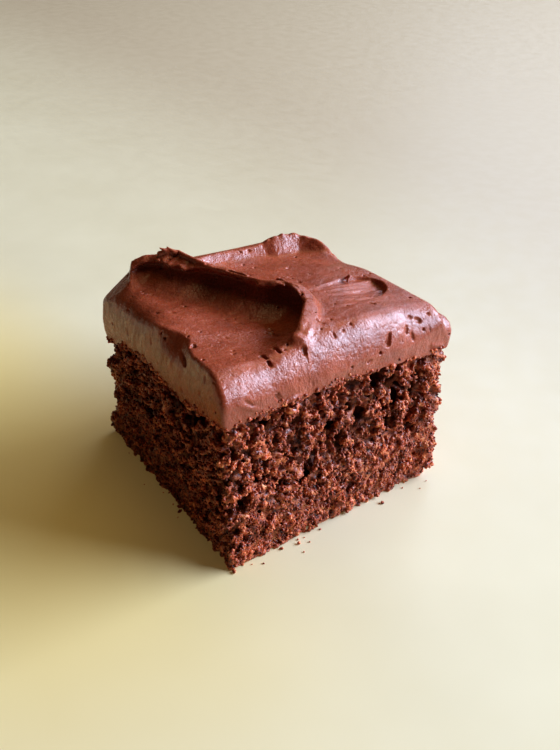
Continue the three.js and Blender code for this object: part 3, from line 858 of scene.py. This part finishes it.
def frosting_shape(grid):
    """Distance outside the frosting without its strands and pits, and the height of its underside."""
    x, y, z = grid.x, grid.y, grid.z
    base, across, share = frosting_base(x, y)
    u, v = shares_of_plan(x, y)
    uneven = 0.5 * ripples(x / 2.6, y / 2.6, 59) + 0.4 * ripples(x / 1.1, y / 1.1, 60)
    bottom = table_height(SPONGE_TOP, u, v) - 0.5 + uneven
    height = np.clip((z - bottom) / (base - bottom), 0, 1)

    front = outside_of_side(FRONT, RIGHT, x, y) + knife_marks(x, z, 51)
    front = front + 0.3 * ripples(x / 7, z / 6, 61) + 0.08 * ripples(x / 2.4, z / 2, 62)
    back = outside_of_side(BACK, LEFT, x, y) + knife_marks(x, z, 53)
    left = outside_of_left(x, y) + 1.3 * knife_marks(y, z, 55)
    right = outside_of_side(RIGHT, BACK, x, y) - RIGHT_FACE_LEAN * (1 - 0.6 * height)
    right = right + knife_marks(y, z, 57)
    torn = smooth(-27, -32.5, y) * bell((z - 48.2) / 3.4)
    right = right - TORN_CORNER * torn * (1 + 0.35 * ripples(y / 1.3, z / 1.6, 58))
    caught = bell((y - DENT_MIDDLE) / (0.7 * DENT_HALF_LENGTH)) * smooth(DENT_FOOT, 53, z)
    left = left + DENT_DEPTH * caught
    bulge = FROSTING_BULGE * 4 * height * (1 - height)
    sides = soft_max(np.maximum(front, back - bulge), np.maximum(left, right) - bulge, 1.2)

    beyond, along = along_path(slope_line, x, y)
    slope = z - mix(SLOPE_HEIGHT[0], SLOPE_HEIGHT[1], along) + CORNER_SLOPE * beyond
    top = soft_min(z - base, wave_field(grid, base, across, share), 0.6)
    field = soft_max(sides, top, 1.2)
    return soft_max(field, slope + 4 * np.minimum(0, beyond), 0.8), bottom


def make_frosting(material):
    grid = Grid((-39.5, -39.5, 26.0), (38.5, 38.5, 61.0), FROSTING_STEP)
    field, bottom = frosting_shape(grid)
    for points, radii in CREST_STRANDS + RIDGE_END_STRANDS + SMEARS:
        box, outside = tube(grid, points, radii)
        field[box] = soft_min(field[box], outside, 0.45)
    for points, radii in GROOVES + PITS:
        box, outside = tube(grid, points, radii)
        field[box] = soft_max(field[box], -outside, 0.2)
    cut_small_pits(field, grid)
    field = np.maximum(field, bottom - grid.z)
    return skin("frosting_swirl", grid, field, material)


# Materials

def new_material(name):
    made = bpy.data.materials.new(name)
    made.use_nodes = True
    return made, made.node_tree


def fill(tree, node, inputs):
    """Gives inputs of a node, by name or number, a number, a colour or another node's output."""
    for name, value in inputs.items():
        socket = node.inputs[name]
        if isinstance(value, bpy.types.NodeSocket):
            tree.links.new(value, socket)
        elif socket.type == "RGBA":
            socket.default_value = (*value, 1)
        else:
            socket.default_value = value


def add(tree, kind, inputs, **settings):
    """A new shader node with its settings and inputs."""
    node = tree.nodes.new(kind)
    for name, value in settings.items():
        setattr(node, name, value)
    fill(tree, node, inputs)
    return node


def noise_node(tree, place, size, detail=2.0, roughness=0.55, output="Fac"):
    """Noise with swells about that many millimetres across."""
    inputs = {"Vector": place, "Scale": 1 / (size * MM), "Detail": detail, "Roughness": roughness}
    return add(tree, "ShaderNodeTexNoise", inputs).outputs[output]


def ramp_node(tree, value, stops):
    """Colours at places from 0 to 1, blended between."""
    node = add(tree, "ShaderNodeValToRGB", {"Fac": value})
    ramp = node.color_ramp
    while len(ramp.elements) < len(stops):
        ramp.elements.new(0.5)
    for element, (place, colour) in zip(ramp.elements, stops):
        element.position = place
        element.color = (*colour, 1)
    return node.outputs["Color"]


def mixed(tree, share, a, b, kind="MIX"):
    """Colour b over colour a, by a share that is a number or a socket."""
    inputs = {"Factor": share, 6: a, 7: b}
    return add(tree, "ShaderNodeMix", inputs, data_type="RGBA", blend_type=kind).outputs[2]


def maths(tree, operation, a, b, c=0.0):
    """A sum, product or the like of numbers or sockets."""
    return add(tree, "ShaderNodeMath", {0: a, 1: b, 2: c}, operation=operation).outputs[0]


def in_range(tree, value, low, high, to_low=0.0, to_high=1.0):
    """The value moved smoothly from one range to another."""
    inputs = {"Value": value, "From Min": low, "From Max": high, "To Min": to_low, "To Max": to_high}
    return add(tree, "ShaderNodeMapRange", inputs, interpolation_type="SMOOTHSTEP").outputs["Result"]


def bumped(tree, height, depth, under=None):
    """A normal tilted by a height whose full range is that many millimetres deep."""
    inputs = {"Height": height, "Distance": depth * MM, "Strength": 1.0}
    if under is not None:
        inputs["Normal"] = under
    return add(tree, "ShaderNodeBump", inputs).outputs["Normal"]


def sponge_material():
    """Moist crumb: rusty to dark brown grain by grain, wet enough to sparkle, warm where light passes; with
    painted shade deep in pores and painted light on proud crumbs.
    """
    made, tree = new_material("chocolate_crumb")
    place = add(tree, "ShaderNodeTexCoord", {}).outputs["Object"]
    patches = noise_node(tree, place, 5.0, 3)
    lumps = noise_node(tree, place, 1.5, 2)
    grain = noise_node(tree, place, 0.55, 3, 0.65)
    tone = maths(tree, "MULTIPLY_ADD", lumps, 0.55, maths(tree, "MULTIPLY", grain, 0.45))
    colour = ramp_node(tree, tone, (
        (0.37, (0.07, 0.011, 0.005)), (0.47, (0.31, 0.054, 0.019)),
        (0.56, (0.58, 0.145, 0.048)), (0.68, (0.86, 0.40, 0.18))))
    dull = ramp_node(tree, patches, ((0.40, (0.72, 0.66, 0.62)), (0.62, (1.1, 1.1, 1.1))))
    colour = mixed(tree, 1.0, colour, dull, "MULTIPLY")
    depth = add(tree, "ShaderNodeAttribute", {}, attribute_name="depth").outputs["Fac"]
    # Painted shade: the crumb's colour turns near black deep under the cut, where shade falls in the pores.
    deep = in_range(tree, depth, 1.3, 3.3, 0.0, 0.95)
    colour = mixed(tree, deep, colour, (0.030, 0.006, 0.002))
    # Painted light: crumbs right at the cut are coloured lighter, as if catching the light, and those a
    # little deeper are coloured darker.
    painted_light_on_proud = in_range(tree, depth, 1.0, 0.2, 0.88, 1.15)
    dry = in_range(tree, grain, 0.35, 0.65, 0.25, 0.55)
    shallow = maths(tree, "SUBTRACT", 1.0, deep)
    fill(tree, tree.nodes["Principled BSDF"], {
        "Base Color": mixed(tree, 1.0, colour, painted_light_on_proud, "MULTIPLY"),
        "Roughness": maths(tree, "MAXIMUM", dry, deep),
        "Specular IOR Level": maths(tree, "MULTIPLY", shallow, 0.55),
        "Normal": bumped(tree, grain, 0.17),
        "Subsurface Weight": 0.3,
        "Subsurface Radius": (1.0, 0.35, 0.12),
        "Subsurface Scale": MM,
    })
    return made


def frosting_material():
    """Satin milk-chocolate frosting, with fine grain, drag lines and warm light through thin edges."""
    made, tree = new_material("chocolate_frosting")
    place = add(tree, "ShaderNodeTexCoord", {}).outputs["Object"]
    bend = noise_node(tree, place, 5, 1, 0.5, "Color")
    reach = (2.2 * MM, 2.2 * MM, 1.2 * MM)
    bent = add(tree, "ShaderNodeVectorMath", {0: bend, 1: reach, 2: place}, operation="MULTIPLY_ADD")
    turn = {"Vector": bent.outputs["Vector"], "Rotation": (0.1, -0.30, 0), "Scale": (1.0, 0.7, 0.22)}
    slant = add(tree, "ShaderNodeMapping", turn)
    clouds = noise_node(tree, place, 7.0, 3)
    grain = noise_node(tree, place, 0.50, 2, 0.6)
    swirls = noise_node(tree, bent.outputs["Vector"], 1.5, 2)
    streaks = noise_node(tree, slant.outputs["Vector"], 0.42, 3, 0.6)
    where_drawn = in_range(tree, noise_node(tree, place, 3.2, 2), 0.40, 0.62, 0.25, 1.0)
    colour = ramp_node(tree, clouds, (
        (0.35, (0.31, 0.070, 0.031)), (0.52, (0.37, 0.086, 0.039)), (0.68, (0.43, 0.106, 0.051))))
    fleck = ramp_node(tree, grain, (
        (0.32, (0.88, 0.86, 0.84)), (0.55, (1.0, 1.0, 1.0)), (0.72, (1.06, 1.06, 1.08))))
    half_swirls = maths(tree, "MULTIPLY", swirls, 0.5)
    patchy = maths(tree, "ADD", half_swirls, maths(tree, "MULTIPLY", grain, 0.5))
    fine = bumped(tree, grain, 0.10)
    drawn = bumped(tree, maths(tree, "MULTIPLY", streaks, where_drawn), 0.16, fine)
    fill(tree, tree.nodes["Principled BSDF"], {
        "Base Color": mixed(tree, 1.0, colour, fleck, "MULTIPLY"),
        "Roughness": in_range(tree, patchy, 0.40, 0.62, 0.21, 0.40),
        "Specular IOR Level": 0.5,
        "Normal": bumped(tree, swirls, 0.15, drawn),
        "Subsurface Weight": 0.28,
        "Subsurface Radius": (1.4, 0.4, 0.15),
        "Subsurface Scale": MM,
    })
    return made


# The camera, the lights and the floor

FOCAL_PIXELS = 900
PHOTO_HEIGHT = 750
CAMERA_PLACE = (-122.3, -173.2, 155.5)
CAMERA_AIM = (28.0, 32.7, 0.0)
CAMERA_ROLL = math.radians(2.04)
FLOOR_HALF = 3.0
# The part of the floor beside the food's left side, painted yellower as painted warm shade where its shadow
# falls: it fades in along an axis between each pair of places
PAINTED_SHADOW_ZONE = (("X", 0.0, -0.06), ("X", -0.18, -0.08), ("Y", 0.22, 0.08), ("Y", -0.12, 0.0))
DAYLIGHT = (0.64, 0.76, 1.0)
LAMPLIGHT = (1.0, 0.80, 0.42)


def in_row(point):
    """A point in millimetres as a place in the row's frame, in metres."""
    return (Vector(point) - Vector((*MIDDLE, 0))) * MM


def add_camera():
    data = bpy.data.cameras.new("camera")
    data.sensor_width = 36
    data.lens = FOCAL_PIXELS / PHOTO_HEIGHT * data.sensor_width
    data.clip_start = 0.01
    camera = bpy.data.objects.new("camera", data)
    look = (in_row(CAMERA_AIM) - in_row(CAMERA_PLACE)).normalized()
    level = look.cross(Vector((0, 0, 1))).normalized()
    up = level.cross(look)
    across = math.cos(CAMERA_ROLL) * level + math.sin(CAMERA_ROLL) * up
    upward = math.cos(CAMERA_ROLL) * up - math.sin(CAMERA_ROLL) * level
    turn = Matrix((across, upward, -look)).transposed()
    camera.matrix_world = Matrix.Translation(in_row(CAMERA_PLACE)) @ turn.to_4x4()
    bpy.context.scene.collection.objects.link(camera)
    bpy.context.scene.camera = camera


def add_area_light(name, direction, distance, size, power, colour):
    """A lamp of that width and height in metres, some distance off, which faces the food."""
    data = bpy.data.lights.new(name, "AREA")
    data.shape = "RECTANGLE"
    data.size, data.size_y = size
    data.energy = power
    data.color = colour
    lamp = bpy.data.objects.new(name, data)
    toward = Vector(direction).normalized()
    lamp.location = toward * distance + Vector((0, 0, 0.03))
    lamp.rotation_euler = toward.to_track_quat("Z", "Y").to_euler()
    bpy.context.scene.collection.objects.link(lamp)


def add_floor():
    made, tree = new_material("floor_cream")
    place = add(tree, "ShaderNodeTexCoord", {}).outputs["Object"]
    cloudy = noise_node(tree, place, 60.0, 3)
    colour = ramp_node(tree, cloudy, ((0.3, (0.64, 0.575, 0.40)), (0.7, (0.69, 0.625, 0.445))))
    apart = add(tree, "ShaderNodeSeparateXYZ", {"Vector": place})
    painted_shadow_tint = 1.0
    for axis, out, inside in PAINTED_SHADOW_ZONE:
        fading = in_range(tree, apart.outputs[axis], out, inside)
        painted_shadow_tint = maths(tree, "MULTIPLY", fading, painted_shadow_tint)
    # Painted shade: the floor's colour turns yellower in the zone where the food's shadow falls.
    colour = mixed(tree, painted_shadow_tint, colour, (0.77, 0.61, 0.27))
    # Painted shade: the floor's colour is made darker towards the right, on the side nearer the window.
    painted_shade_to_right = in_range(tree, apart.outputs["X"], 0.0, 0.24)
    fill(tree, tree.nodes["Principled BSDF"], {
        "Base Color": mixed(tree, painted_shade_to_right, colour, (0.48, 0.40, 0.285)),
        "Roughness": in_range(tree, noise_node(tree, place, 9.0, 4), 0.3, 0.7, 0.36, 0.46),
        # Painted light: the floor glows warm, which lifts its shadows and throws warm light onto the food's
        # shaded sides.
        "Emission Color": (1.0, 0.68, 0.25),
        "Emission Strength": 0.078,
    })
    corners = [(FLOOR_HALF * i, FLOOR_HALF * j, 0) for i, j in ((-1, -1), (1, -1), (1, 1), (-1, 1))]
    mesh = bpy.data.meshes.new("floor")
    mesh.from_pydata(corners, [], [(0, 1, 2, 3)])
    mesh.materials.append(made)
    floor = bpy.data.objects.new("floor", mesh)
    bpy.context.scene.collection.objects.link(floor)


def add_world():
    """A pale backdrop far behind, which is seen but gives little light."""
    world = bpy.data.worlds.new("room")
    world.use_nodes = True
    tree = world.node_tree
    dim = tree.nodes["Background"]
    fill(tree, dim, {"Color": (1.0, 0.80, 0.50), "Strength": 0.02})
    backdrop = add(tree, "ShaderNodeBackground", {"Color": (0.64, 0.60, 0.52)})
    seen = add(tree, "ShaderNodeLightPath", {}).outputs["Is Camera Ray"]
    both = {"Fac": seen, 1: dim.outputs["Background"], 2: backdrop.outputs["Background"]}
    surface = add(tree, "ShaderNodeMixShader", both).outputs["Shader"]
    fill(tree, tree.nodes["World Output"], {"Surface": surface})
    bpy.context.scene.world = world


add_camera()
add_world()
add_floor()
add_area_light("window", (0.787, -0.40, 0.47), 2.0, (1.8, 0.9), 101, DAYLIGHT)
add_area_light("second_window", (0.80, 0.37, 0.50), 2.0, (1.4, 0.9), 12, DAYLIGHT)
add_area_light("ceiling", (0.30, 0.12, 1.0), 2.2, (1.5, 1.5), 9, LAMPLIGHT)

crumb = sponge_material()
sponge = make_sponge(crumb)
grains = scatter_grains("sponge_grains", sponge, on_cut_sides(sponge, 2.4), GRAINS, GRAIN_SIZES, 61, crumb)
stuck = scatter_grains(
    "sponge_stuck_crumbs", sponge, on_cut_sides(sponge, 1.5), STUCK_CRUMBS, STUCK_SIZES, 62, crumb)
frosting = make_frosting(frosting_material())
edge = scatter_grains(
    "edge_crumbs", frosting, on_lower_edge(frosting), EDGE_CRUMBS, STUCK_SIZES, 66, crumb)
loose = drop_loose_crumbs(crumb)
thinned(sponge, MOST_TRIANGLES)
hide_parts("sponge")
for piece in (sponge, grains, stuck, edge, loose):
    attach(piece, "root")

thinned(frosting, MOST_TRIANGLES)
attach(frosting, "root")
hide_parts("frosting")

bpy.context.scene.view_settings.view_transform = "Standard"
bpy.context.scene.view_settings.look = "Medium High Contrast"
